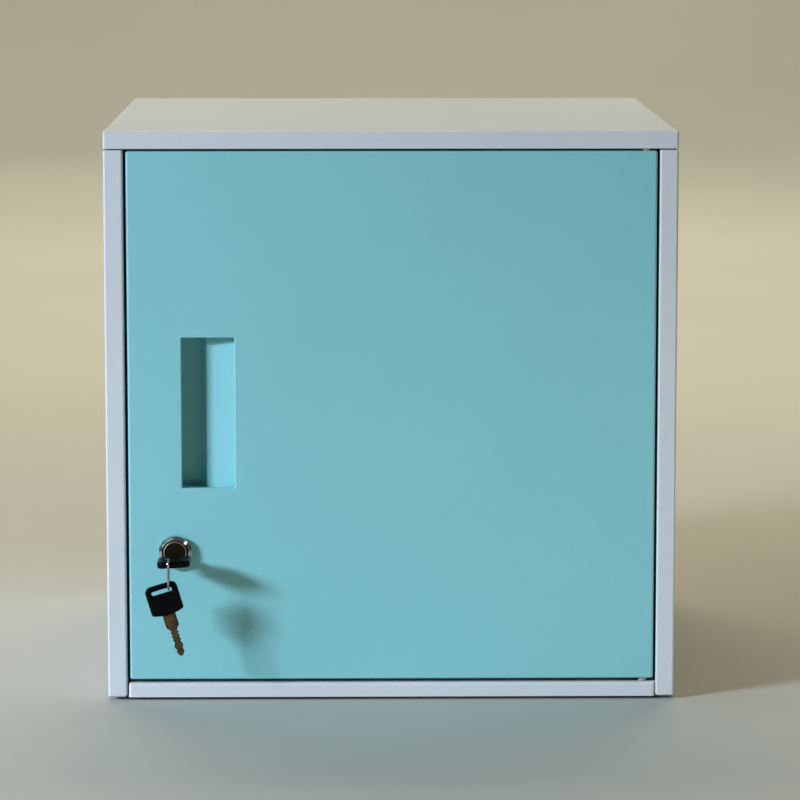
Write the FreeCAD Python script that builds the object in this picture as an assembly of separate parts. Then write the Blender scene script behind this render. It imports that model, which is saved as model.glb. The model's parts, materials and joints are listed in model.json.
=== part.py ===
import FreeCAD, Part
import math
import os

V = FreeCAD.Vector

# A small lockable bedside cabinet folded from steel sheet.
# Millimetres. X to the right as the door is faced, Y towards the back, Z up.
# The origin is on the floor, under the middle of the body.

# Body
BODY_WIDTH = 380.0
BODY_DEPTH = 380.0
BODY_HEIGHT = 380.0
FOOT_HEIGHT = 2.0
SHEET = 1.0
BEND_RADIUS = 1.5
SEAM = 0.3
TOP_SEAM = 0.7

LEFT = -BODY_WIDTH / 2
RIGHT = BODY_WIDTH / 2
FRONT = -BODY_DEPTH / 2
BACK = BODY_DEPTH / 2
BODY_BOTTOM = FOOT_HEIGHT
BODY_TOP = BODY_BOTTOM + BODY_HEIGHT

# Top panel: a shallow tray turned over, resting on the side panels
TOP_RIM = 11.8
TOP_RIM_EDGE_RADIUS = 0.8
JAMB_DEPTH = 22.0
JAMB_LIP = 8.0
TOP_RIM_BOTTOM = BODY_TOP - TOP_RIM

# Side panels: outer sheet, closed front post, top and bottom lips, back flange
LEFT_POST = 12.9
RIGHT_POST = 12.4
POST_DEPTH = 25.0
POST_TOP = TOP_RIM_BOTTOM - TOP_SEAM
POST_TOP_CORNER = 1.0
POST_BOTTOM_CORNER = 2.0
POST_OUTER_CORNER = 0.8
STOP_LIP = 10.0
UPSTAND_FRONT = FRONT + 30.0
UPSTAND_BACK = BACK - 10.0
UPSTAND_CLEARANCE = 0.2

# Bottom panel: floor sheet with a front rail and down-turned flanges
RAIL_HEIGHT = 9.8
RAIL_BEND_RADIUS = 2.3
RAIL_RETURN = 10.0
RAIL_LEFT_GAP = 0.6
RAIL_RIGHT_GAP = 0.15
RAIL_LEFT_CORNER = 2.0
RAIL_RIGHT_CORNER = 0.6
FLANGE_LIFT = 1.5
FLOOR_TOP = BODY_BOTTOM + RAIL_HEIGHT

# Back panel with one large pressed field
BACK_PANEL_GAP = 0.2
FIELD_WIDTH = 290.0
FIELD_HEIGHT = 290.0
FIELD_DEPTH = 3.0
FIELD_SLOPE = 4.0

# Blind rivets of the back
RIVET_SHANK_RADIUS = 2.0
RIVET_HOLE_RADIUS = 2.05
RIVET_HEAD_RADIUS = 3.3
RIVET_HEAD_HEIGHT = 1.1
RIVET_BULB_RADIUS = 2.7
RIVET_BULB_LENGTH = 2.5
SIDE_RIVET_INSET = 7.0
SIDE_RIVET_HEIGHTS = (40.0, 150.0, 250.0, 345.0)
ROW_RIVET_OFFSETS = (-120.0, 0.0, 120.0)
TOP_RIVET_DROP = 6.5
BOTTOM_RIVET_RISE = 6.0

# Feet: thin rubber pads under the side panels
FOOT_WIDTH = 10.0
FOOT_LENGTH = 30.0
FOOT_CORNER = 3.0
FOOT_INSET_X = 6.5
FOOT_INSET_Y = 30.0

# Door: a pan set flush with the front
DOOR_LEFT = LEFT + 14.9
DOOR_RIGHT = RIGHT - 14.1
DOOR_TOP = BODY_TOP - 13.2
DOOR_BOTTOM = BODY_BOTTOM + 12.15
DOOR_THICKNESS = 22.0
DOOR_LIP = 12.0
DOOR_BACK = FRONT + DOOR_THICKNESS

# Recessed handle
HANDLE_LEFT = LEFT + 50.6
HANDLE_RIGHT = LEFT + 85.9
HANDLE_BOTTOM = BODY_BOTTOM + 142.1
HANDLE_TOP = BODY_BOTTOM + 243.1
HANDLE_CORNER = 0.8
HANDLE_COLLAR = 4.0
HANDLE_EDGE_RADIUS = 0.7
HANDLE_UNDERCUT = 8.0
HANDLE_DEPTH = 20.0
HANDLE_FLOOR_WIDTH = 12.3
HANDLE_STEP_WIDTH = 4.0
HANDLE_STEP_DEPTH = 13.0
HANDLE_RIGHT_DEPTH = 7.7
HANDLE_FLANGE = 6.0

# Pivot hinges of the door
PIVOT_FROM_DOOR_EDGE = 7.0
PIVOT_FROM_FRONT = 4.5
PIVOT_X = DOOR_RIGHT - PIVOT_FROM_DOOR_EDGE
PIVOT_Y = FRONT + PIVOT_FROM_FRONT
PIN_RADIUS = 1.6
PIN_HEAD_RADIUS = 2.8
PIN_HEAD = 2.0
PIN_REACH = 10.0
BUSH_BORE_RADIUS = 1.65
BUSH_SLEEVE_RADIUS = 2.4
BUSH_COLLAR_RADIUS = 2.9
BUSH_SLEEVE_LENGTH = 7.0
BUSH_RUNNING_GAP = 0.08
HOLE_EASE = 0.05

# Rubber buffers on the stop lip
BUFFER_RADIUS = 3.4
BUFFER_GAP = 0.2
BUFFER_STEM_RADIUS = 1.5
BUFFER_STEM_BEHIND = 2.0
BUFFER_X = DOOR_LEFT + 4.5
BUFFER_HEIGHTS = (55.0, 325.0)

# Cam lock
LOCK_X = LEFT + 45.8
LOCK_Z = BODY_BOTTOM + 99.2
LOCK_BEZEL_RADIUS = 11.0
LOCK_BEZEL_EDGE = 4.2
LOCK_BEZEL_EASE = 0.25
LOCK_FACE_RADIUS = 8.9
LOCK_PROUD = 6.0
LOCK_FACE_BORE = 8.65
LOCK_FACE_RECESS = 2.6
LOCK_BARREL_RADIUS = 9.0
LOCK_BARREL_LENGTH = 23.8
LOCK_NUT_FLATS = 22.0
LOCK_NUT_THICKNESS = 4.0
PLUG_RADIUS = 6.0
PLUG_BORE_RADIUS = 6.05
PLUG_CAP_RADIUS = 7.75
PLUG_CAP_RIM = 0.55
PLUG_CAP_PROUD = 5.7
PLUG_CAP_DISH = 0.8
PLUG_BEHIND_BARREL = 2.4
PLUG_TANG = 7.0
PLUG_TANG_LENGTH = 1.9
KEYWAY_WIDTH = 6.3
KEYWAY_HEIGHT = 2.3
KEYWAY_LENGTH = 20.5
KEYWAY_OFFSET = 2.6
KEY_ROLL = 3.0
CAM_THICKNESS = 2.0
CAM_REACH = 29.0
CAM_WIDTH = 14.0
CAM_HUB_RADIUS = 9.0
CAM_HOLE_EASE = 0.05
SCREW_RADIUS = 2.0
SCREW_HEAD_RADIUS = 4.5
SCREW_HEAD_HEIGHT = 2.6
SCREW_LENGTH = 8.0
SCREW_SLOT_WIDTH = 1.0
SCREW_SLOT_DEPTH = 1.0

# Keys: a moulded head on a flat blade cut on both edges
HEAD_WIDTH = 21.8
HEAD_LENGTH = 21.2
HEAD_SHOULDER_LENGTH = 19.2
HEAD_THICKNESS = 4.8
HEAD_FAR_CORNER = 4.0
HEAD_NEAR_CORNER = 1.6
HEAD_EDGE_RADIUS = 1.5
HEAD_BAR = 3.6
HEAD_SLOT_LENGTH = 14.0
HEAD_SLOT_WIDTH = 2.7
BLADE_THICKNESS = 2.0
BLADE_SHOULDER_WIDTH = 8.6
BLADE_SHOULDER_LENGTH = 9.8
BLADE_SHOULDER_SLOPE = 1.6
BLADE_TANG = 7.0
BLADE_CUT_LENGTH = 18.8
BLADE_NECK_HALF = 1.9
BLADE_TOOTH_HALF = 2.6
BLADE_TOOTH_PITCH = 2.5
BLADE_TOOTH_FLAT = 0.2 * BLADE_TOOTH_PITCH
BLADE_VALLEY_START = 0.55 * BLADE_TOOTH_PITCH
BLADE_VALLEY_END = 0.75 * BLADE_TOOTH_PITCH
BLADE_TEETH = 4
BLADE_BARB_HALF = 2.95
BLADE_BARB_FROM_TIP = 7.1
BLADE_ARROW_HALF = 2.45
BLADE_ARROW_FROM_TIP = 2.8
BLADE_TIP_HALF = 0.9
BLADE_EASE = 0.05
KEY_FACE_GAP = 0.1

# Wire loop that joins the keys
LOOP_WIRE_RADIUS = 0.75
LOOP_HALF_WIDTH = 3.7
LOOP_HEIGHT = 21.2
LOOP_X_OFFSET = -3.2
LOOP_Y_OFFSET = -3.4
LOOP_TOP_CLEARANCE = 0.45
SPARE_TILT = 17.0
SPARE_SLOT_OFFSET = 4.8
SPARE_HANG_CLEARANCE = 0.42


def block(x0, x1, y0, y1, z0, z1):
    """A box between two corners."""
    return Part.makeBox(x1 - x0, y1 - y0, z1 - z0, V(x0, y0, z0))


def rod(radius, start, direction, length):
    """A cylinder from a point along a direction."""
    return Part.makeCylinder(radius, length, start, direction)


def edges_near(shape, *tests):
    """Edges whose bounding box meets every (axis, value) test at both ends."""
    found = []
    for edge in shape.Edges:
        bb = edge.BoundBox
        low = {"x": bb.XMin, "y": bb.YMin, "z": bb.ZMin}
        high = {"x": bb.XMax, "y": bb.YMax, "z": bb.ZMax}
        if all(abs(low[a] - v) < 0.01 and abs(high[a] - v) < 0.01 for a, v in tests):
            found.append(edge)
    return found


def rounded(shape, radius, *edge_tests):
    """Round the edges picked by each tuple of (axis, value) tests."""
    edges = []
    for tests in edge_tests:
        edges.extend(edges_near(shape, *tests))
    return shape.makeFillet(radius, edges)


def flat_shape(points, z0, height):
    """A plate with straight edges, drawn in XY."""
    corners = [V(x, y, z0) for x, y in points]
    face = Part.Face(Part.makePolygon(corners + corners[:1]))
    return face.extrude(V(0, 0, height))


def turned(profile, x, z):
    """A solid turned about the lock's axis from (radius, y) points."""
    corners = [V(r, y, 0) for r, y in profile]
    face = Part.Face(Part.makePolygon(corners + corners[:1]))
    solid = face.revolve(V(0, 0, 0), V(0, 1, 0), 360)
    solid.translate(V(x, 0, z))
    return solid


def mirrored(shape):
    """The shape's mirror image across the middle of the body."""
    return shape.mirror(V(0, 0, 0), V(1, 0, 0))


def top_panel():
    """Tray with four rims; its front rim folds back as the top jamb."""
    shell = block(LEFT, RIGHT, FRONT, BACK, TOP_RIM_BOTTOM, BODY_TOP)
    shell = rounded(
        shell,
        BEND_RADIUS,
        (("x", LEFT), ("y", FRONT)),
        (("x", RIGHT), ("y", FRONT)),
        (("x", LEFT), ("y", BACK)),
        (("x", RIGHT), ("y", BACK)),
        (("x", LEFT), ("z", BODY_TOP)),
        (("x", RIGHT), ("z", BODY_TOP)),
        (("y", FRONT), ("z", BODY_TOP)),
        (("y", BACK), ("z", BODY_TOP)),
    )
    shell = shell.cut(block(LEFT + SHEET, RIGHT - SHEET, FRONT + SHEET, BACK - SHEET,
                            TOP_RIM_BOTTOM - 1, BODY_TOP - SHEET))
    jamb_left = LEFT + LEFT_POST + SEAM
    jamb_right = RIGHT - RIGHT_POST - SEAM
    jamb_back = FRONT + JAMB_DEPTH
    jamb = block(jamb_left, jamb_right, FRONT + SHEET / 2, jamb_back,
                 TOP_RIM_BOTTOM, TOP_RIM_BOTTOM + SHEET)
    lip = block(jamb_left, jamb_right, jamb_back - SHEET, jamb_back,
                TOP_RIM_BOTTOM, TOP_RIM_BOTTOM + JAMB_LIP)
    panel = shell.fuse([jamb, lip]).removeSplitter()
    panel = rounded(panel, TOP_RIM_EDGE_RADIUS, (("y", FRONT), ("z", TOP_RIM_BOTTOM)),
                    (("x", LEFT), ("z", TOP_RIM_BOTTOM)), (("x", RIGHT), ("z", TOP_RIM_BOTTOM)))
    pin_hole = rod(PIN_RADIUS + HOLE_EASE, V(PIVOT_X, PIVOT_Y, TOP_RIM_BOTTOM - 1),
                   V(0, 0, 1), SHEET + 2)
    panel = panel.cut(pin_hole)
    for x in ROW_RIVET_OFFSETS:
        panel = panel.cut(rod(RIVET_HOLE_RADIUS, V(x, BACK - 2, BODY_TOP - TOP_RIVET_DROP),
                              V(0, 1, 0), 4))
    return panel


def side_panel(post_width, stop_lip):
    """Left-hand side: outer sheet, closed front post, lips and back flange."""
    inner = LEFT + post_width
    post_back = FRONT + POST_DEPTH
    side = block(LEFT, inner, FRONT, BACK, BODY_BOTTOM, POST_TOP)
    side = rounded(side, POST_BOTTOM_CORNER, (("x", inner), ("z", BODY_BOTTOM)))
    side = rounded(side, POST_TOP_CORNER, (("x", inner), ("z", POST_TOP)))
    side = rounded(side, BEND_RADIUS, (("x", LEFT), ("y", FRONT)),
                   (("x", LEFT), ("y", BACK)), (("x", inner), ("y", FRONT)))
    side = rounded(side, POST_OUTER_CORNER, (("x", LEFT), ("z", POST_TOP)),
                   (("x", LEFT), ("z", BODY_BOTTOM)))
    low = BODY_BOTTOM + SHEET
    high = POST_TOP - SHEET
    side = side.cut(block(LEFT + SHEET, inner - SHEET, FRONT + SHEET, post_back - SHEET,
                          low, high))
    side = side.cut(block(LEFT + SHEET, inner + 1, post_back, BACK - SHEET, low, high))
    side = side.cut(block(LEFT + SHEET, inner + 1, BACK - 2 * SHEET, BACK - SHEET, low, POST_TOP + 1))
    upstand = block(LEFT + SHEET + UPSTAND_CLEARANCE, LEFT + 2 * SHEET + UPSTAND_CLEARANCE,
                    UPSTAND_FRONT, UPSTAND_BACK, high, BODY_TOP - SHEET - UPSTAND_CLEARANCE)
    side = side.fuse(upstand)
    if stop_lip:
        side = side.fuse(block(inner - SHEET, inner + stop_lip, post_back - SHEET, post_back,
                               FLOOR_TOP + SEAM, POST_TOP - SEAM))
    side = side.removeSplitter()
    for z in SIDE_RIVET_HEIGHTS:
        side = side.cut(rod(RIVET_HOLE_RADIUS, V(LEFT + SIDE_RIVET_INSET, BACK - 2, z),
                            V(0, 1, 0), 4))
    return side


def left_side_panel():
    """Side panel with the stop lip that the door closes on and the lock holds."""
    side = side_panel(LEFT_POST, STOP_LIP)
    for z in BUFFER_HEIGHTS:
        side = side.cut(rod(BUFFER_STEM_RADIUS + HOLE_EASE, V(BUFFER_X, FRONT + POST_DEPTH - 2, z),
                            V(0, 1, 0), 4))
    return side


def right_side_panel():
    """Hinge-side panel, with no stop lip so the door can turn."""
    return mirrored(side_panel(RIGHT_POST, 0))


def bottom_panel():
    """Floor sheet; the front rail shows between the two posts."""
    rail_left = LEFT + LEFT_POST + RAIL_LEFT_GAP
    rail_right = RIGHT - RIGHT_POST - RAIL_RIGHT_GAP
    post_back = FRONT + POST_DEPTH
    rail = block(rail_left, rail_right, FRONT, post_back, BODY_BOTTOM, FLOOR_TOP)
    rail = rounded(rail, RAIL_LEFT_CORNER, (("x", rail_left), ("z", FLOOR_TOP)))
    rail = rounded(rail, RAIL_RIGHT_CORNER, (("x", rail_right), ("z", FLOOR_TOP)))
    rail = rounded(rail, RAIL_BEND_RADIUS, (("y", FRONT), ("z", FLOOR_TOP)))
    rail = rail.cut(block(rail_left - 1, rail_right + 1, FRONT + SHEET, post_back + 1,
                          BODY_BOTTOM + SHEET, FLOOR_TOP - SHEET))
    rail = rail.cut(block(rail_left - 1, rail_right + 1, FRONT + RAIL_RETURN, post_back + 1,
                          BODY_BOTTOM - 1, BODY_BOTTOM + 2 * SHEET))
    tray_back = BACK - 2 * SHEET
    tray = block(LEFT + SHEET, RIGHT - SHEET, post_back, tray_back,
                 BODY_BOTTOM + FLANGE_LIFT, FLOOR_TOP)
    tray = tray.cut(block(LEFT + 2 * SHEET, RIGHT - 2 * SHEET, post_back - 1, tray_back - SHEET,
                          BODY_BOTTOM, FLOOR_TOP - SHEET))
    panel = rail.fuse(tray).removeSplitter()
    panel = panel.cut(rod(PIN_RADIUS + HOLE_EASE, V(PIVOT_X, PIVOT_Y, FLOOR_TOP - SHEET - 1),
                          V(0, 0, 1), SHEET + 2))
    for x in ROW_RIVET_OFFSETS:
        panel = panel.cut(rod(RIVET_HOLE_RADIUS, V(x, tray_back - 2, BODY_BOTTOM + BOTTOM_RIVET_RISE),
                              V(0, 1, 0), 4))
    return panel


def field_loft(half_width, half_height, y0, y1, slope):
    """A flat-topped pyramid that stands along -Y from y0 to y1."""
    middle = (BODY_BOTTOM + BODY_TOP) / 2
    wires = []
    for y, inset in ((y0, 0), (y1, slope)):
        w = half_width - inset
        h = half_height - inset
        corners = [V(-w, y, middle - h), V(w, y, middle - h), V(w, y, middle + h),
                   V(-w, y, middle + h)]
        wires.append(Part.makePolygon(corners + corners[:1]))
    return Part.makeLoft(wires, True, True)


def back_panel():
    """Flat sheet behind the cavity, stiffened by a field pressed inwards."""
    front_face = BACK - 2 * SHEET
    back_face = BACK - SHEET
    sheet = block(LEFT + SHEET + BACK_PANEL_GAP, RIGHT - SHEET - BACK_PANEL_GAP,
                  front_face, back_face, BODY_BOTTOM + SHEET + BACK_PANEL_GAP,
                  BODY_TOP - SHEET - BACK_PANEL_GAP)
    raised = field_loft(FIELD_WIDTH / 2, FIELD_HEIGHT / 2, front_face,
                        front_face - FIELD_DEPTH, FIELD_SLOPE)
    hollow = field_loft(FIELD_WIDTH / 2 - SHEET / 2, FIELD_HEIGHT / 2 - SHEET / 2, back_face,
                        back_face - FIELD_DEPTH, FIELD_SLOPE)
    panel = sheet.fuse(raised).cut(hollow).removeSplitter()
    for point in rivet_points():
        panel = panel.cut(rod(RIVET_HOLE_RADIUS, V(point.x, BACK - 4, point.z), V(0, 1, 0), 6))
    return panel


def rivet_points():
    """Where each rivet head sits on the outside of the back."""
    points = []
    for z in SIDE_RIVET_HEIGHTS:
        points.append(V(LEFT + SIDE_RIVET_INSET, BACK, z))
        points.append(V(RIGHT - SIDE_RIVET_INSET, BACK, z))
    for x in ROW_RIVET_OFFSETS:
        points.append(V(x, BACK, BODY_TOP - TOP_RIVET_DROP))
        points.append(V(x, BACK - SHEET, BODY_BOTTOM + BOTTOM_RIVET_RISE))
    return points


def back_rivets():
    """Blind rivets: domed head outside, shank through two sheets, bulb inside."""
    rivets = []
    grip = 2 * SHEET
    for point in rivet_points():
        shank = rod(RIVET_SHANK_RADIUS, point - V(0, grip + RIVET_BULB_LENGTH / 2, 0),
                    V(0, 1, 0), grip + RIVET_BULB_LENGTH / 2 + RIVET_HEAD_HEIGHT / 2)
        head = rod(RIVET_HEAD_RADIUS, point, V(0, 1, 0), RIVET_HEAD_HEIGHT)
        head = head.makeFillet(RIVET_HEAD_HEIGHT * 0.85,
                               edges_near(head, ("y", point.y + RIVET_HEAD_HEIGHT)))
        bulb = rod(RIVET_BULB_RADIUS, point - V(0, grip + RIVET_BULB_LENGTH, 0),
                   V(0, 1, 0), RIVET_BULB_LENGTH)
        rivets.append(shank.fuse([head, bulb]).removeSplitter())
    return Part.makeCompound(rivets)


def foot(x_side, y_side):
    """One thin rubber pad under a side panel's bottom lip."""
    x = x_side * (BODY_WIDTH / 2 - FOOT_INSET_X)
    y = y_side * (BODY_DEPTH / 2 - FOOT_INSET_Y)
    pad = block(x - FOOT_WIDTH / 2, x + FOOT_WIDTH / 2, y - FOOT_LENGTH / 2, y + FOOT_LENGTH / 2,
                0, FOOT_HEIGHT)
    return rounded(
        pad,
        FOOT_CORNER,
        (("x", x - FOOT_WIDTH / 2), ("y", y - FOOT_LENGTH / 2)),
        (("x", x + FOOT_WIDTH / 2), ("y", y - FOOT_LENGTH / 2)),
        (("x", x - FOOT_WIDTH / 2), ("y", y + FOOT_LENGTH / 2)),
        (("x", x + FOOT_WIDTH / 2), ("y", y + FOOT_LENGTH / 2)),
    )


def door_buffer(z):
    """Rubber button pushed into the stop lip."""
    lip_front = FRONT + POST_DEPTH - SHEET
    pad = rod(BUFFER_RADIUS, V(BUFFER_X, DOOR_BACK + BUFFER_GAP, z), V(0, 1, 0),
              lip_front - DOOR_BACK - BUFFER_GAP)
    stem = rod(BUFFER_STEM_RADIUS, V(BUFFER_X, lip_front - SHEET, z), V(0, 1, 0),
               2 * SHEET + BUFFER_STEM_BEHIND)
    return pad.fuse(stem).removeSplitter()


def handle_opening(grow, y0, y1):
    """Prism of the handle's opening, grown by a margin, between two depths."""
    prism = block(HANDLE_LEFT - grow, HANDLE_RIGHT + grow, y0, y1,
                  HANDLE_BOTTOM - grow, HANDLE_TOP + grow)
    return rounded(
        prism,
        HANDLE_CORNER + grow,
        (("x", HANDLE_LEFT - grow), ("z", HANDLE_BOTTOM - grow)),
        (("x", HANDLE_LEFT - grow), ("z", HANDLE_TOP + grow)),
        (("x", HANDLE_RIGHT + grow), ("z", HANDLE_BOTTOM - grow)),
        (("x", HANDLE_RIGHT + grow), ("z", HANDLE_TOP + grow)),
    )


def door_skin():
    """Door pan: bent edges, back lips, collared handle opening, lock and pivot holes."""
    pan = block(DOOR_LEFT, DOOR_RIGHT, FRONT, DOOR_BACK, DOOR_BOTTOM, DOOR_TOP)
    pan = rounded(
        pan,
        BEND_RADIUS,
        (("x", DOOR_LEFT), ("y", FRONT)),
        (("x", DOOR_RIGHT), ("y", FRONT)),
        (("y", FRONT), ("z", DOOR_BOTTOM)),
        (("y", FRONT), ("z", DOOR_TOP)),
        (("x", DOOR_LEFT), ("z", DOOR_BOTTOM)),
        (("x", DOOR_LEFT), ("z", DOOR_TOP)),
        (("x", DOOR_RIGHT), ("z", DOOR_BOTTOM)),
        (("x", DOOR_RIGHT), ("z", DOOR_TOP)),
    )
    pan = pan.cut(block(DOOR_LEFT + SHEET, DOOR_RIGHT - SHEET, FRONT + SHEET, DOOR_BACK - SHEET,
                        DOOR_BOTTOM + SHEET, DOOR_TOP - SHEET))
    inset = SHEET + DOOR_LIP
    pan = pan.cut(block(DOOR_LEFT + inset, DOOR_RIGHT - inset, DOOR_BACK - 2 * SHEET,
                        DOOR_BACK + 1, DOOR_BOTTOM + inset, DOOR_TOP - inset))
    pan = pan.fuse(handle_opening(SHEET, FRONT + SHEET / 2, FRONT + HANDLE_COLLAR))
    pan = pan.cut(handle_opening(0, FRONT - 1, FRONT + HANDLE_COLLAR + 1)).removeSplitter()
    rim = [
        edge
        for edge in pan.Edges
        if edge.BoundBox.YMax < FRONT + 0.01
        and edge.BoundBox.XMin > HANDLE_LEFT - 0.01
        and edge.BoundBox.XMax < HANDLE_RIGHT + 0.01
        and edge.BoundBox.ZMin > HANDLE_BOTTOM - 0.01
        and edge.BoundBox.ZMax < HANDLE_TOP + 0.01
    ]
    pan = pan.makeFillet(HANDLE_EDGE_RADIUS, rim)
    pan = pan.cut(rod(LOCK_BARREL_RADIUS + HOLE_EASE, V(LOCK_X, FRONT - 1, LOCK_Z),
                      V(0, 1, 0), SHEET + 2))
    for z in (DOOR_BOTTOM - 1, DOOR_TOP - SHEET - 1):
        pan = pan.cut(rod(BUSH_SLEEVE_RADIUS + HOLE_EASE, V(PIVOT_X, PIVOT_Y, z),
                          V(0, 0, 1), SHEET + 2))
    return pan


def handle_profile(offset):
    """Section of the handle pan seen from above, with its walls moved out by an offset."""
    face_y = FRONT + SHEET
    floor_y = FRONT + HANDLE_DEPTH
    step_y = FRONT + HANDLE_STEP_DEPTH
    right_y = FRONT + HANDLE_RIGHT_DEPTH
    floor_end = HANDLE_LEFT + HANDLE_FLOOR_WIDTH
    step_end = floor_end + HANDLE_STEP_WIDTH
    right = HANDLE_RIGHT + SHEET
    steep = math.atan2(floor_y - step_y, step_end - floor_end)
    gentle = math.atan2(step_y - right_y, right - step_end)
    floor_shift = offset * math.tan(steep / 2)
    bend_shift = offset * math.sin((steep + gentle) / 2) / math.cos((steep - gentle) / 2)
    bend_drop = offset * math.cos((steep + gentle) / 2) / math.cos((steep - gentle) / 2)
    right_drop = offset * (1 / math.cos(gentle) - math.tan(gentle))
    return [
        (HANDLE_LEFT - HANDLE_UNDERCUT - offset, face_y),
        (HANDLE_LEFT - HANDLE_UNDERCUT - offset, floor_y + offset),
        (floor_end + floor_shift, floor_y + offset),
        (step_end + bend_shift, step_y + bend_drop),
        (right + offset, right_y + right_drop),
        (right + offset, face_y),
    ]


def handle_pocket():
    """Pan behind the opening: deep on the left for the fingers, sloping up to the right."""
    low = HANDLE_BOTTOM - SHEET
    high = HANDLE_TOP + SHEET
    outer = flat_shape(handle_profile(SHEET), low - SHEET, high - low + 2 * SHEET)
    inner = flat_shape(handle_profile(0), low, high - low)
    left = HANDLE_LEFT - HANDLE_UNDERCUT - SHEET - HANDLE_FLANGE
    right = HANDLE_RIGHT + 2 * SHEET + HANDLE_FLANGE
    flange = block(left, right, FRONT + SHEET, FRONT + 2 * SHEET,
                   low - SHEET - HANDLE_FLANGE, high + SHEET + HANDLE_FLANGE)
    return outer.fuse(flange).cut(inner).removeSplitter()


def hinge_pin(z_head, z_tip):
    """Steel pivot with a head, fixed in the body; it stands from its head to its tip."""
    up = 1 if z_tip > z_head else -1
    head = rod(PIN_HEAD_RADIUS, V(PIVOT_X, PIVOT_Y, z_head), V(0, 0, up), PIN_HEAD)
    shank = rod(PIN_RADIUS, V(PIVOT_X, PIVOT_Y, z_head), V(0, 0, up), abs(z_tip - z_head))
    shank = shank.makeChamfer(0.5, edges_near(shank, ("z", z_tip)))
    return head.fuse(shank).removeSplitter()


def hinge_bush(door_edge, into_door, frame_face):
    """Nylon bush in the door's edge; its collar fills the gap to the body."""
    gap = abs(frame_face - door_edge) - BUSH_RUNNING_GAP
    collar = rod(BUSH_COLLAR_RADIUS, V(PIVOT_X, PIVOT_Y, door_edge), V(0, 0, -into_door), gap)
    sleeve = rod(BUSH_SLEEVE_RADIUS, V(PIVOT_X, PIVOT_Y, door_edge - into_door * gap),
                 V(0, 0, into_door), gap + BUSH_SLEEVE_LENGTH)
    bore = rod(BUSH_BORE_RADIUS, V(PIVOT_X, PIVOT_Y, door_edge - into_door * (gap + 1)),
               V(0, 0, into_door), gap + BUSH_SLEEVE_LENGTH + 2)
    return collar.fuse(sleeve).cut(bore).removeSplitter()


def lock_body():
    """Chrome bezel with a conical front on the door's face, and the threaded barrel behind it."""
    face = FRONT - LOCK_PROUD
    end = FRONT + LOCK_BARREL_LENGTH
    profile = [
        (PLUG_BORE_RADIUS, end),
        (LOCK_BARREL_RADIUS, end),
        (LOCK_BARREL_RADIUS, FRONT),
        (LOCK_BEZEL_RADIUS, FRONT),
        (LOCK_BEZEL_RADIUS, FRONT - LOCK_BEZEL_EDGE),
        (LOCK_BEZEL_RADIUS - LOCK_BEZEL_EASE, FRONT - LOCK_BEZEL_EDGE - LOCK_BEZEL_EASE),
        (LOCK_FACE_RADIUS, face),
        (LOCK_FACE_BORE, face),
        (LOCK_FACE_BORE, face + LOCK_FACE_RECESS),
        (PLUG_BORE_RADIUS, face + LOCK_FACE_RECESS),
    ]
    return turned(profile, LOCK_X, LOCK_Z)


def lock_nut():
    """Hexagon nut that clamps the lock to the skin."""
    corner = LOCK_NUT_FLATS / 2 / math.cos(math.radians(30))
    points = [(corner * math.cos(math.radians(60 * i)), corner * math.sin(math.radians(60 * i)))
              for i in range(6)]
    corners = [V(LOCK_X + x, FRONT + SHEET, LOCK_Z + z) for x, z in points]
    face = Part.Face(Part.makePolygon(corners + corners[:1]))
    nut = face.extrude(V(0, LOCK_NUT_THICKNESS, 0))
    return nut.cut(rod(LOCK_BARREL_RADIUS + HOLE_EASE, V(LOCK_X, FRONT, LOCK_Z),
                       V(0, 1, 0), LOCK_NUT_THICKNESS + 2))


def rolled(shape):
    """Turn a lock part to where the key rests."""
    shape.rotate(V(LOCK_X, 0, LOCK_Z), V(0, 1, 0), -KEY_ROLL)
    return shape


def lock_plug():
    """Turning core: dished cap, barrel, keyway and square tang for the cam."""
    cap_front = FRONT - PLUG_CAP_PROUD
    cap_back = FRONT - LOCK_PROUD + LOCK_FACE_RECESS - 0.05
    dish = cap_front + PLUG_CAP_DISH
    end = FRONT + LOCK_BARREL_LENGTH + PLUG_BEHIND_BARREL
    profile = [
        (0, end),
        (PLUG_RADIUS, end),
        (PLUG_RADIUS, cap_back),
        (PLUG_CAP_RADIUS, cap_back),
        (PLUG_CAP_RADIUS, cap_front + 0.2),
        (PLUG_CAP_RADIUS - 0.2, cap_front),
        (PLUG_CAP_RADIUS - PLUG_CAP_RIM, cap_front),
        (PLUG_CAP_RADIUS - PLUG_CAP_RIM, dish),
        (0, dish),
    ]
    plug = turned(profile, LOCK_X, LOCK_Z)
    half = PLUG_TANG / 2
    plug = plug.fuse(block(LOCK_X - half, LOCK_X + half, end - 1, end + PLUG_TANG_LENGTH,
                           LOCK_Z - half, LOCK_Z + half)).removeSplitter()
    key_z = LOCK_Z - KEYWAY_OFFSET
    plug = plug.cut(block(LOCK_X - KEYWAY_WIDTH / 2, LOCK_X + KEYWAY_WIDTH / 2, cap_front - 1,
                          dish + KEYWAY_LENGTH, key_z - KEYWAY_HEIGHT / 2,
                          key_z + KEYWAY_HEIGHT / 2))
    plug = plug.cut(rod(SCREW_RADIUS + HOLE_EASE,
                        V(LOCK_X, end + PLUG_TANG_LENGTH + 1, LOCK_Z), V(0, -1, 0),
                        SCREW_LENGTH + 1.5))
    return rolled(plug)


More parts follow.
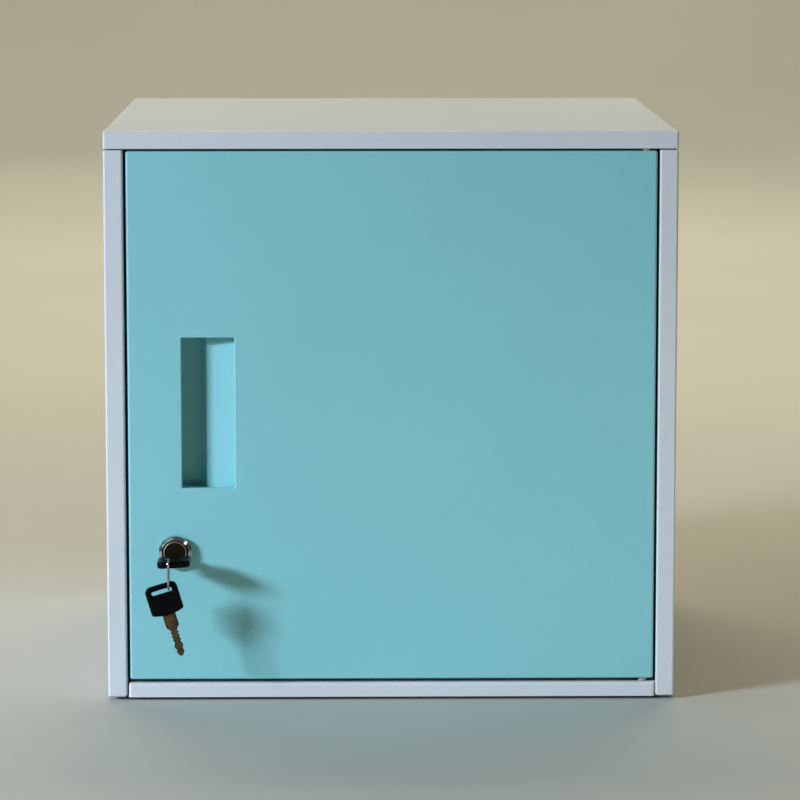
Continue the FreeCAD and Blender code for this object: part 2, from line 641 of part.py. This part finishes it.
def lock_cam():
    """Flat arm on the plug; hanging it is open, turned to the left it holds the stop lip."""
    y0 = FRONT + LOCK_BARREL_LENGTH + PLUG_BEHIND_BARREL
    half = CAM_WIDTH / 2
    tip = LOCK_Z - CAM_REACH
    arm = block(LOCK_X - half, LOCK_X + half, y0, y0 + CAM_THICKNESS, tip, LOCK_Z)
    arm = rounded(arm, half - 1, (("x", LOCK_X - half), ("z", tip)),
                  (("x", LOCK_X + half), ("z", tip)))
    hub = rod(CAM_HUB_RADIUS, V(LOCK_X, y0, LOCK_Z), V(0, 1, 0), CAM_THICKNESS)
    cam = arm.fuse(hub).removeSplitter()
    hole = PLUG_TANG / 2 + CAM_HOLE_EASE
    cam = cam.cut(block(LOCK_X - hole, LOCK_X + hole, y0 - 1, y0 + CAM_THICKNESS + 1,
                        LOCK_Z - hole, LOCK_Z + hole))
    return rolled(cam)


def cam_screw():
    """Slotted screw and its broad head, holding the cam on the tang."""
    y0 = FRONT + LOCK_BARREL_LENGTH + PLUG_BEHIND_BARREL + CAM_THICKNESS
    head = rod(SCREW_HEAD_RADIUS, V(LOCK_X, y0, LOCK_Z), V(0, 1, 0), SCREW_HEAD_HEIGHT)
    head = head.makeFillet(0.8, edges_near(head, ("y", y0 + SCREW_HEAD_HEIGHT)))
    shank = rod(SCREW_RADIUS, V(LOCK_X, y0 - SCREW_LENGTH, LOCK_Z), V(0, 1, 0), SCREW_LENGTH + 0.5)
    screw = head.fuse(shank).removeSplitter()
    half = SCREW_SLOT_WIDTH / 2
    slot = block(LOCK_X - SCREW_HEAD_RADIUS, LOCK_X + SCREW_HEAD_RADIUS,
                 y0 + SCREW_HEAD_HEIGHT - SCREW_SLOT_DEPTH, y0 + SCREW_HEAD_HEIGHT + 1,
                 LOCK_Z - half, LOCK_Z + half)
    return rolled(screw.cut(slot))


def key_head():
    """Moulded head lying flat; its far edge is on Y = 0 and the blade leaves along +Y."""
    half = HEAD_WIDTH / 2
    corners = [V(-half, 0, 0), V(half, 0, 0), V(half, HEAD_SHOULDER_LENGTH, 0)]
    sides = [Part.makeLine(corners[0], corners[1]), Part.makeLine(corners[1], corners[2])]
    near = Part.Arc(corners[2], V(0, HEAD_LENGTH, 0), V(-half, HEAD_SHOULDER_LENGTH, 0)).toShape()
    closing = Part.makeLine(V(-half, HEAD_SHOULDER_LENGTH, 0), corners[0])
    head = Part.Face(Part.Wire(sides + [near, closing])).extrude(V(0, 0, HEAD_THICKNESS))
    head.translate(V(0, 0, -HEAD_THICKNESS / 2))
    head = rounded(head, HEAD_FAR_CORNER, (("x", -half), ("y", 0)), (("x", half), ("y", 0)))
    head = rounded(head, HEAD_NEAR_CORNER, (("x", -half), ("y", HEAD_SHOULDER_LENGTH)),
                   (("x", half), ("y", HEAD_SHOULDER_LENGTH)))
    end = HEAD_SLOT_WIDTH / 2
    run = HEAD_SLOT_LENGTH / 2 - end
    slot_y = HEAD_BAR + end
    slot = block(-run, run, slot_y - end, slot_y + end, -HEAD_THICKNESS, HEAD_THICKNESS)
    for x in (-run, run):
        slot = slot.fuse(rod(end, V(x, slot_y, -HEAD_THICKNESS), V(0, 0, 1), 2 * HEAD_THICKNESS))
    head = head.cut(slot.removeSplitter())
    top = HEAD_THICKNESS / 2
    head = head.makeFillet(HEAD_EDGE_RADIUS,
                           edges_near(head, ("z", top)) + edges_near(head, ("z", -top)))
    half_tang = BLADE_SHOULDER_WIDTH / 2 + BLADE_EASE
    return head.cut(block(-half_tang, half_tang, HEAD_LENGTH - BLADE_TANG - BLADE_EASE,
                          HEAD_LENGTH + 1, -BLADE_THICKNESS / 2 - BLADE_EASE,
                          BLADE_THICKNESS / 2 + BLADE_EASE))


def key_blade():
    """Flat blade lying flat: tang in the head, shoulder, notched length and barbed tip."""
    half = BLADE_SHOULDER_WIDTH / 2
    start = HEAD_LENGTH - BLADE_TANG
    cut_start = HEAD_LENGTH + BLADE_SHOULDER_LENGTH
    tip = cut_start + BLADE_CUT_LENGTH
    barb = tip - BLADE_BARB_FROM_TIP
    arrow = tip - BLADE_ARROW_FROM_TIP
    edge = [(half, start), (half, cut_start - BLADE_SHOULDER_SLOPE)]
    for i in range(BLADE_TEETH):
        y = cut_start + i * BLADE_TOOTH_PITCH
        edge.append((BLADE_TOOTH_HALF, y))
        edge.append((BLADE_TOOTH_HALF, y + BLADE_TOOTH_FLAT))
        edge.append((BLADE_NECK_HALF, y + BLADE_VALLEY_START))
        edge.append((BLADE_NECK_HALF, y + BLADE_VALLEY_END))
    edge.append((BLADE_BARB_HALF, barb))
    edge.append((BLADE_BARB_HALF, barb + BLADE_TOOTH_FLAT))
    edge.append((BLADE_NECK_HALF, (barb + arrow) / 2 + BLADE_TOOTH_FLAT))
    edge.append((BLADE_ARROW_HALF, arrow))
    edge.append((BLADE_ARROW_HALF, arrow + BLADE_TOOTH_FLAT))
    edge.append((BLADE_TIP_HALF, tip))
    outline = edge + [(-x, y) for x, y in reversed(edge)]
    return flat_shape(outline, -BLADE_THICKNESS / 2, BLADE_THICKNESS)


def key_far_end():
    """Y of the working key's outer end, with its shoulder against the plug."""
    plug_face = FRONT - PLUG_CAP_PROUD + PLUG_CAP_DISH
    return plug_face - KEY_FACE_GAP - BLADE_SHOULDER_LENGTH - HEAD_LENGTH


def working_key(piece):
    """Put a piece of the working key into the lock."""
    piece.translate(V(LOCK_X, key_far_end(), LOCK_Z - KEYWAY_OFFSET))
    return rolled(piece)


def loop_centres():
    """Centre line's highest and lowest points."""
    x = LOCK_X + LOOP_X_OFFSET
    y = key_far_end() + HEAD_BAR + HEAD_SLOT_WIDTH / 2 + LOOP_Y_OFFSET
    head_top = (LOCK_Z - KEYWAY_OFFSET + HEAD_THICKNESS / 2
                + LOOP_X_OFFSET * math.sin(math.radians(KEY_ROLL)))
    top = head_top + LOOP_WIRE_RADIUS + LOOP_TOP_CLEARANCE
    bottom = top - LOOP_HEIGHT + 2 * LOOP_WIRE_RADIUS
    return V(x, y, top), V(x, y, bottom)


def key_loop():
    """Closed loop of round wire with straight sides and half-round ends."""
    top, bottom = loop_centres()
    r = LOOP_HALF_WIDTH
    upper = top.z - r
    lower = bottom.z + r
    x = top.x
    y = top.y
    pieces = [
        rod(LOOP_WIRE_RADIUS, V(x, y - r, lower), V(0, 0, 1), upper - lower),
        rod(LOOP_WIRE_RADIUS, V(x, y + r, lower), V(0, 0, 1), upper - lower),
    ]
    for level, crown in ((upper, top), (lower, bottom)):
        start = V(x, y - r, level)
        bend = Part.Wire(Part.Arc(start, crown, V(x, y + r, level)).toShape())
        section = Part.Wire(Part.makeCircle(LOOP_WIRE_RADIUS, start, V(0, 0, 1)))
        pieces.append(bend.makePipeShell([section], True, True))
    return pieces[0].fuse(pieces[1:]).removeSplitter()


def spare_key(piece):
    """Hang a piece of the spare key on the bottom of the loop."""
    bottom = loop_centres()[1]
    piece.translate(V(-SPARE_SLOT_OFFSET, -HEAD_BAR - LOOP_WIRE_RADIUS - SPARE_HANG_CLEARANCE, 0))
    piece.rotate(V(0, 0, 0), V(1, 0, 0), -90)
    piece.rotate(V(0, 0, 0), V(0, 1, 0), -SPARE_TILT)
    piece.translate(bottom)
    return piece


def build():
    """Every piece by name."""
    parts = {
        "top_panel": top_panel(),
        "left_side_panel": left_side_panel(),
        "right_side_panel": right_side_panel(),
        "bottom_panel": bottom_panel(),
        "back_panel": back_panel(),
        "back_rivets": back_rivets(),
        "door_skin": door_skin(),
        "handle_pocket": handle_pocket(),
        "hinge_pin_lower": hinge_pin(FLOOR_TOP - SHEET - PIN_HEAD, DOOR_BOTTOM + PIN_REACH),
        "hinge_pin_upper": hinge_pin(TOP_RIM_BOTTOM + SHEET + PIN_HEAD, DOOR_TOP - PIN_REACH),
        "hinge_bush_lower": hinge_bush(DOOR_BOTTOM, 1, FLOOR_TOP),
        "hinge_bush_upper": hinge_bush(DOOR_TOP, -1, TOP_RIM_BOTTOM),
        "lock_body": lock_body(),
        "lock_nut": lock_nut(),
        "lock_plug": lock_plug(),
        "lock_cam": lock_cam(),
        "cam_screw": cam_screw(),
        "key_head": working_key(key_head()),
        "key_blade": working_key(key_blade()),
        "key_loop": key_loop(),
        "spare_key_head": spare_key(key_head()),
        "spare_key_blade": spare_key(key_blade()),
    }
    for name, x_side in (("left", -1), ("right", 1)):
        parts["foot_front_" + name] = foot(x_side, -1)
        parts["foot_back_" + name] = foot(x_side, 1)
    for name, z in zip(("lower", "upper"), BUFFER_HEIGHTS):
        parts["door_buffer_" + name] = door_buffer(z)
    return parts


os.makedirs("parts", exist_ok=True)
for node, shape in build().items():
    shape.exportStep("parts/" + node + ".step")
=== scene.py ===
import json
import math

import bpy
from mathutils import Euler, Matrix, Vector

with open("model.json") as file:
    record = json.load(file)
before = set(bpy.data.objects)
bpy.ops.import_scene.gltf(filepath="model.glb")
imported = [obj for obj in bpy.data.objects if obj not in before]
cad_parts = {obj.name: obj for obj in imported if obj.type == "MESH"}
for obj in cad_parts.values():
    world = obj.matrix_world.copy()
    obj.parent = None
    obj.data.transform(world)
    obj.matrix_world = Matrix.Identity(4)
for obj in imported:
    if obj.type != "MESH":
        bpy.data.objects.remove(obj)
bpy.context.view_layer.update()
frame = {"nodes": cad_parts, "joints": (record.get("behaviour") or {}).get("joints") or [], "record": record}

# Metres. X to the right as the door is faced, Y towards the back, Z up; the cabinet stands on z = 0.
joints = {joint["name"]: joint for joint in frame["joints"]}
lock_axis = joints["key_turn"]["pos_m"]
LOCK_X, LOCK_Z = lock_axis[0], lock_axis[2]
LOCK_FACE = (LOCK_X, -0.20, LOCK_Z)


# ---------------------------------------------------------------- camera

CAMERA_PLACE = (-0.0292, -2.6838, 0.546)
CAMERA_TURN = math.radians(-0.805)
CAMERA_TILT = math.radians(-7.826)
CAMERA_LENS = 170.35

camera_data = bpy.data.cameras.new("camera")
camera_data.lens = CAMERA_LENS
camera_data.sensor_width = 36.0
camera_data.clip_start = 0.05
camera_data.clip_end = 50.0
camera = bpy.data.objects.new("camera", camera_data)
camera.location = CAMERA_PLACE
camera.rotation_euler = Euler((math.pi / 2 + CAMERA_TILT, 0.0, CAMERA_TURN), "XYZ")
bpy.context.scene.collection.objects.link(camera)
bpy.context.scene.camera = camera


# ---------------------------------------------------------------- node materials

class Finish:
    """A node material round one Principled shader, laid out in the object's own metres."""

    # The colour Mix node's sockets: its factor and its two colours going in, its colour coming out.
    MIX_FACTOR, MIX_FIRST, MIX_SECOND, MIX_RESULT = 0, 6, 7, 2

    def __init__(self, name, **fixed):
        self.material = bpy.data.materials.new(name)
        self.material.use_nodes = True
        self.tree = self.material.node_tree
        self.shader = self.tree.nodes["Principled BSDF"]
        for socket, value in fixed.items():
            self.shader.inputs[socket.replace("_", " ")].default_value = value
        self.place = self.node("TexCoord").outputs["Object"]

    def put(self, socket, value):
        """Sets a socket to a value, or links it to another node's socket."""
        if isinstance(value, bpy.types.NodeSocket):
            self.tree.links.new(value, socket)
        else:
            socket.default_value = value

    def node(self, kind, values=None, **settings):
        """A new shader node, with values for its sockets and settings for its own properties."""
        made = self.tree.nodes.new("ShaderNode" + kind)
        for name, value in settings.items():
            setattr(made, name, value)
        for socket, value in (values or {}).items():
            self.put(made.inputs[socket], value)
        return made

    def maths(self, operation, a, b=0.0):
        return self.node("Math", {0: a, 1: b}, operation=operation).outputs[0]

    def stretched(self, x, y, z, turn=(0.0, 0.0, 0.0)):
        """The object's own place, scaled along each axis and turned, for drawn-out patterns."""
        values = {"Vector": self.place, "Scale": (x, y, z), "Rotation": turn}
        return self.node("Mapping", values).outputs[0]

    def noise(self, scale, detail=2.0, roughness=0.5, place=None, distortion=0.0):
        values = {"Vector": place or self.place, "Scale": scale, "Detail": detail,
                  "Roughness": roughness, "Distortion": distortion}
        return self.node("TexNoise", values).outputs[0]

    def spread(self, value, low, high, out_low=0.0, out_high=1.0):
        """Takes low..high to out_low..out_high in a straight line, and no further."""
        values = {"Value": value, "From Min": low, "From Max": high, "To Min": out_low, "To Max": out_high}
        return self.node("MapRange", values).outputs[0]

    def blend(self, factor, first, second):
        """The first colour at factor 0, the second at factor 1."""
        mix = self.node("Mix", data_type="RGBA")
        sockets = ((self.MIX_FACTOR, factor), (self.MIX_FIRST, first), (self.MIX_SECOND, second))
        for index, value in sockets:
            if isinstance(value, tuple):
                value = (*value, 1.0)
            self.put(mix.inputs[index], value)
        return mix.outputs[self.MIX_RESULT]

    def radius_about(self, x, z):
        """Distance from the line along Y through (x, z)."""
        split = self.node("SeparateXYZ", {0: self.place})
        across = self.maths("SUBTRACT", split.outputs["X"], x)
        up = self.maths("SUBTRACT", split.outputs["Z"], z)
        squares = (self.maths("MULTIPLY", side, side) for side in (across, up))
        return self.maths("SQRT", self.maths("ADD", *squares))

    def edges(self, radius, dull, sharp):
        """0 on flat faces, 1 on edges: how far the rounded-over normal leaves the real one."""
        eased = self.node("Bevel", {"Radius": radius}, samples=4).outputs[0]
        true = self.node("NewGeometry").outputs["Normal"]
        agree = self.node("VectorMath", {0: eased, 1: true}, operation="DOT_PRODUCT").outputs["Value"]
        return self.spread(agree, dull, sharp)

    def corners(self, reach):
        """1 in tight corners and seams, 0 in the open."""
        open_sky = self.node("AmbientOcclusion", {"Distance": reach}, samples=4).outputs["AO"]
        return self.spread(open_sky, 0.75, 0.15)

    def relief(self, *layers):
        """Bump layers, each (height, metres)."""
        normal = None
        for height, depth in layers:
            bump = self.node("Bump", {"Height": height, "Distance": depth, "Strength": 1.0})
            if normal is not None:
                self.put(bump.inputs["Normal"], normal)
            normal = bump.outputs[0]
        self.put(self.shader.inputs["Normal"], normal)

    def done(self, colour, roughness):
        self.put(self.shader.inputs["Base Color"], colour)
        self.put(self.shader.inputs["Roughness"], roughness)
        return self.material


def shade(colour, amount):
    """The colour made darker or lighter."""
    return tuple(min(1.0, c * amount) for c in colour)


def powder_coat(name, colour, gloss, rub):
    """Baked powder paint on folded sheet: orange peel, faint clouding, thin edges, painted shade and dust in
    the seams.
    """
    f = Finish(name, Specular_IOR_Level=0.5)
    clouds = f.noise(4.5, 3.0, 0.55)
    flecks = f.noise(260.0, 3.0, 0.6)
    tone = f.blend(f.spread(clouds, 0.3, 0.7), shade(colour, 0.965), shade(colour, 1.03))
    tone = f.blend(f.spread(flecks, 0.35, 0.68, 0.0, 0.22), tone, shade(colour, 0.93))
    edge = f.edges(0.0022, 0.985, 0.86)
    chafe = f.spread(f.noise(70.0, 4.0, 0.65), 0.42, 0.66)
    tone = f.blend(f.maths("MULTIPLY", edge, f.maths("MULTIPLY", chafe, 0.55)), tone, rub)
    # Darker in corners and seams: painted shade, mixed with patchy dust.
    seam_shade_and_dust = f.maths("MULTIPLY", f.corners(0.006), f.spread(f.noise(45.0, 3.0), 0.25, 0.7, 0.25, 0.6))
    tone = f.blend(seam_shade_and_dust, tone, tuple(0.45 * c + 0.045 for c in colour))
    hairs = f.noise(30.0, 5.0, 0.7, f.stretched(1.0, 1.0, 0.08, (0.0, 0.5, 0.0)), 0.6)
    rough = f.spread(clouds, 0.3, 0.7, gloss - 0.03, gloss + 0.03)
    rough = f.maths("ADD", rough, f.spread(hairs, 0.62, 0.72, 0.0, 0.07))
    rough = f.maths("ADD", rough, f.maths("MULTIPLY", edge, 0.08))
    peel = f.noise(620.0, 2.0, 0.45)
    sag = f.noise(7.0, 1.0, 0.4)
    grit = f.noise(2400.0, 2.0, 0.6)
    f.relief((sag, 0.00045), (peel, 0.000012), (grit, 0.000002))
    return f.done(tone, rough)


def bright_metal(name, colour, rough, dark, scale=90.0, rings=None, streak=None, painted_light_rings=(), rim=None):
    """Plated or turned metal: smoky patches, fine scratches, and rings or streaks from its making.

    rings is (x, z, pitch) of its turning marks; the rings of colour, each (radius, colour) about that axis
    and largest first, are painted shade and painted reflection; rim is (width, colour) of its edges."""
    f = Finish(name, Metallic=1.0)
    smoke = f.noise(scale, 4.0, 0.6)
    tone = f.blend(f.spread(smoke, 0.35, 0.72), colour, dark)
    # Darker in corners and tight seams: painted shade.
    tone = f.blend(f.maths("MULTIPLY", f.corners(0.002), 0.7), tone, shade(dark, 0.45))
    width, edge_tone = rim or (0.0006, shade(colour, 1.12))
    edge = f.edges(width, 0.996, 0.92)
    tone = f.blend(f.maths("MULTIPLY", edge, 0.75), tone, edge_tone)
    roughness = f.spread(smoke, 0.3, 0.75, rough, rough + 0.14)
    layers = [(f.noise(900.0, 3.0, 0.7), 0.000003)]
    if rings:
        x, z, pitch = rings
        radius = f.radius_about(x, z)
        wave = f.maths("SINE", f.maths("MULTIPLY", radius, 2 * math.pi / pitch))
        layers.append((f.spread(wave, -1.0, 1.0), pitch * 0.02))
        # Each ring paints its colour inside its radius, rippled by the turning marks: painted shade and
        # painted reflection.
        for inside, painted_ring_colour in painted_light_rings:
            painted_ring_tone = f.blend(f.spread(wave, -0.2, 1.0), painted_ring_colour, shade(painted_ring_colour, 1.6))
            tone = f.blend(f.spread(radius, inside, inside + 0.0002, 1.0, 0.0), tone, painted_ring_tone)
    if streak:
        drawn = f.noise(1.0, 4.0, 0.7, f.stretched(*streak))
        layers.append((drawn, 0.000006))
        roughness = f.maths("ADD", roughness, f.spread(drawn, 0.4, 0.65, 0.0, 0.1))
    f.relief(*layers)
    return f.done(tone, roughness)


def moulded(name, colour, rough, grain, scuff, **fixed):
    """Moulded plastic or rubber: fine grain, greasy patches, paler rubbed edges."""
    f = Finish(name, **fixed)
    patches = f.noise(160.0, 4.0, 0.6)
    tone = f.blend(f.spread(patches, 0.35, 0.7), colour, shade(colour, 1.5))
    edge = f.edges(0.0007, 0.97, 0.75)
    tone = f.blend(f.maths("MULTIPLY", edge, f.spread(patches, 0.4, 0.65, 0.1, 0.6)), tone, scuff)
    tone = f.blend(f.maths("MULTIPLY", f.corners(0.002), 0.35), tone, shade(scuff, 0.8))
    roughness = f.spread(patches, 0.3, 0.7, rough - 0.06, rough + 0.08)
    f.relief((f.noise(1400.0, 2.0, 0.6), grain))
    return f.done(tone, roughness)


BODY_WHITE = (0.70, 0.75, 0.78)
DOOR_AQUA = (0.266, 0.655, 0.68)

body_paint = powder_coat("body_paint", BODY_WHITE, 0.40, (0.86, 0.88, 0.89))
door_paint = powder_coat("door_paint", DOOR_AQUA, 0.40, (0.48, 0.78, 0.80))
back_paint = powder_coat("back_paint", shade(BODY_WHITE, 0.98), 0.44, (0.86, 0.88, 0.89))
# Chrome is faintly blue; the stronger cyan tint is painted reflection of teal surroundings. The ring inside
# 9.7 mm is painted reflection, the near-black ring inside 8.75 mm is painted shade in the gap round the
# plug, and the near-white rim is a painted highlight along the edges.
chrome = bright_metal("lock_chrome", (0.52, 0.68, 0.76), 0.08, (0.22, 0.31, 0.34), 260.0,
                      rings=(LOCK_X, LOCK_Z, 0.00035),
                      painted_light_rings=((0.0097, (0.52, 0.54, 0.52)), (0.00875, (0.02, 0.02, 0.018))),
                      rim=(0.0005, (0.95, 0.97, 0.97)))
# The plug face inside 6.9 mm is painted near black: painted shade and dark reflection on its recessed face.
plug_metal = bright_metal("plug_metal", (0.86, 0.80, 0.68), 0.36, (0.52, 0.46, 0.36), 420.0,
                          rings=(LOCK_X, LOCK_Z, 0.0016),
                          painted_light_rings=((0.0069, (0.042, 0.038, 0.026)),))
nut_steel = bright_metal("nut_steel", (0.56, 0.57, 0.56), 0.26, (0.36, 0.36, 0.34))
cam_steel = bright_metal("cam_steel", (0.60, 0.60, 0.57), 0.28, (0.38, 0.37, 0.33), 130.0,
                         streak=(300.0, 300.0, 4000.0))
pin_steel = bright_metal("pin_steel", (0.58, 0.58, 0.58), 0.22, (0.34, 0.33, 0.31))
rivet_aluminium = bright_metal("rivet_aluminium", (0.76, 0.77, 0.78), 0.30, (0.55, 0.55, 0.55), 300.0)
# The near-black rim along the blade's edges is painted shade.
key_brass = bright_metal("key_brass", (0.24, 0.15, 0.062), 0.30, (0.055, 0.045, 0.024), 130.0,
                         streak=(5000.0, 5000.0, 300.0), rim=(0.0018, (0.020, 0.020, 0.015)))
loop_steel = bright_metal("loop_steel", (0.52, 0.51, 0.48), 0.06, (0.22, 0.22, 0.20), 500.0)
key_plastic = moulded("key_plastic", (0.002, 0.002, 0.0023), 0.22, 0.000004, (0.014, 0.014, 0.015),
                      Specular_IOR_Level=0.08)
# Grey rather than the white of real nylon bushes, so that they read as shaded inside the hinge gaps: painted
# shade.
nylon = moulded("nylon", (0.30, 0.30, 0.29), 0.42, 0.000003, (0.48, 0.48, 0.46))
foot_rubber = moulded("foot_rubber", (0.02, 0.02, 0.021), 0.72, 0.00001, (0.07, 0.07, 0.07))
buffer_rubber = moulded("buffer_rubber", (0.05, 0.05, 0.052), 0.66, 0.00001, (0.11, 0.11, 0.11))

finishes = {
    "body_paint": body_paint, "door_paint": door_paint, "back_paint": back_paint,
    "lock_chrome": chrome, "plug_metal": plug_metal, "nut_steel": nut_steel,
    "cam_steel": cam_steel, "pin_steel": pin_steel, "rivet_aluminium": rivet_aluminium,
    "key_brass": key_brass, "loop_steel": loop_steel, "key_plastic": key_plastic,
    "nylon": nylon, "foot_rubber": foot_rubber, "buffer_rubber": buffer_rubber,
}

for part in frame["record"]["subparts"]:
    mesh = frame["nodes"][part["node"]].data
    mesh.materials.clear()
    mesh.materials.append(finishes[part["material_slot"]])


# ---------------------------------------------------------------- floor, surround and light

FLOOR_INNER_RING = 0.6
FLOOR_RADIUS = 5.0
COVE_RADIUS = 1.5
COVE_STEPS = 12
WALL_TOP = 4.0
STUDIO_SIDES = 96
FLOOR_SINK = 0.0002


def studio():
    """A pale round floor, just under the cabinet, that curves up into a plain wall on every side."""
    profile = [(FLOOR_INNER_RING, 0.0), (FLOOR_RADIUS, 0.0)]
    for step in range(1, COVE_STEPS + 1):
        climb = math.pi / 2 * step / COVE_STEPS
        profile.append((FLOOR_RADIUS + COVE_RADIUS * math.sin(climb), COVE_RADIUS * (1 - math.cos(climb))))
    profile.append((FLOOR_RADIUS + COVE_RADIUS, WALL_TOP))
    points = [(0.0, 0.0, -FLOOR_SINK)]
    for radius, height in profile:
        for side in range(STUDIO_SIDES):
            angle = 2 * math.pi * side / STUDIO_SIDES
            points.append((radius * math.cos(angle), radius * math.sin(angle), height - FLOOR_SINK))
    faces = [(0, 1 + side, 1 + (side + 1) % STUDIO_SIDES) for side in range(STUDIO_SIDES)]
    for ring in range(len(profile) - 1):
        inner = 1 + ring * STUDIO_SIDES
        outer = inner + STUDIO_SIDES
        for side in range(STUDIO_SIDES):
            after = (side + 1) % STUDIO_SIDES
            faces.append((inner + side, outer + side, outer + after, inner + after))
    mesh = bpy.data.meshes.new("studio")
    mesh.from_pydata(points, [], faces)
    mesh.polygons.foreach_set("use_smooth", [True] * len(faces))
    surround = bpy.data.objects.new("studio", mesh)
    bpy.context.scene.collection.objects.link(surround)
    f = Finish("studio_plaster", Specular_IOR_Level=0.3)
    tone = f.blend(f.spread(f.noise(0.9, 3.0), 0.35, 0.65), (0.50, 0.50, 0.44), (0.54, 0.54, 0.48))
    f.relief((f.noise(40.0, 4.0), 0.0002))
    mesh.materials.append(f.done(tone, f.spread(f.noise(6.0, 2.0), 0.3, 0.7, 0.7, 0.8)))


def area_light(name, place, target, size, spread, power, colour):
    """A soft rectangle aimed at target; spread is the whole angle of its beam in degrees."""
    data = bpy.data.lights.new(name, "AREA")
    data.shape = "RECTANGLE"
    data.size, data.size_y = size
    data.spread = math.radians(spread)
    data.energy = power
    data.color = colour
    lamp = bpy.data.objects.new(name, data)
    lamp.location = place
    lamp.rotation_euler = (Vector(target) - Vector(place)).to_track_quat("-Z", "Y").to_euler()
    lamp.visible_camera = False
    bpy.context.scene.collection.objects.link(lamp)


studio()
area_light("window", (-2.55, -1.80, 1.13), (-0.03, -0.19, -0.25), size=(0.65, 0.36), spread=70.0,
           power=17.8, colour=(0.71, 0.79, 0.97))
area_light("rear_softbox", (0.0, 2.3, 2.7), (0.0, 1.9, 0.0), size=(3.4, 2.2), spread=130.0,
           power=60.0, colour=(1.0, 0.89, 0.71))
area_light("backdrop_wash", (0.0, 3.6, 3.2), (0.0, 6.2, 0.6), size=(5.0, 0.6), spread=140.0,
           power=62.0, colour=(1.0, 0.94, 0.82))
area_light("low_bounce", (0.85, -0.85, 0.06), (0.17, -0.19, 0.03), size=(0.4, 0.1), spread=90.0,
           power=0.32, colour=(1.0, 0.93, 0.85))
area_light("glint", (1.71, -1.01, 1.56), LOCK_FACE, size=(0.4, 0.4), spread=20.0,
           power=0.035, colour=(1.0, 0.98, 0.95))
area_light("sky_panel", (-1.37, -0.92, 2.03), LOCK_FACE, size=(1.1, 2.0), spread=60.0,
           power=0.36, colour=(0.66, 0.92, 1.0))

SKY_COLOUR = (0.93, 1.0, 0.6, 1.0)
SKY_STRENGTH = 0.11

world = bpy.data.worlds.new("world")
world.use_nodes = True
background = world.node_tree.nodes["Background"]
background.inputs["Color"].default_value = SKY_COLOUR
background.inputs["Strength"].default_value = SKY_STRENGTH
bpy.context.scene.world = world
bpy.context.scene.view_settings.view_transform = "Standard"
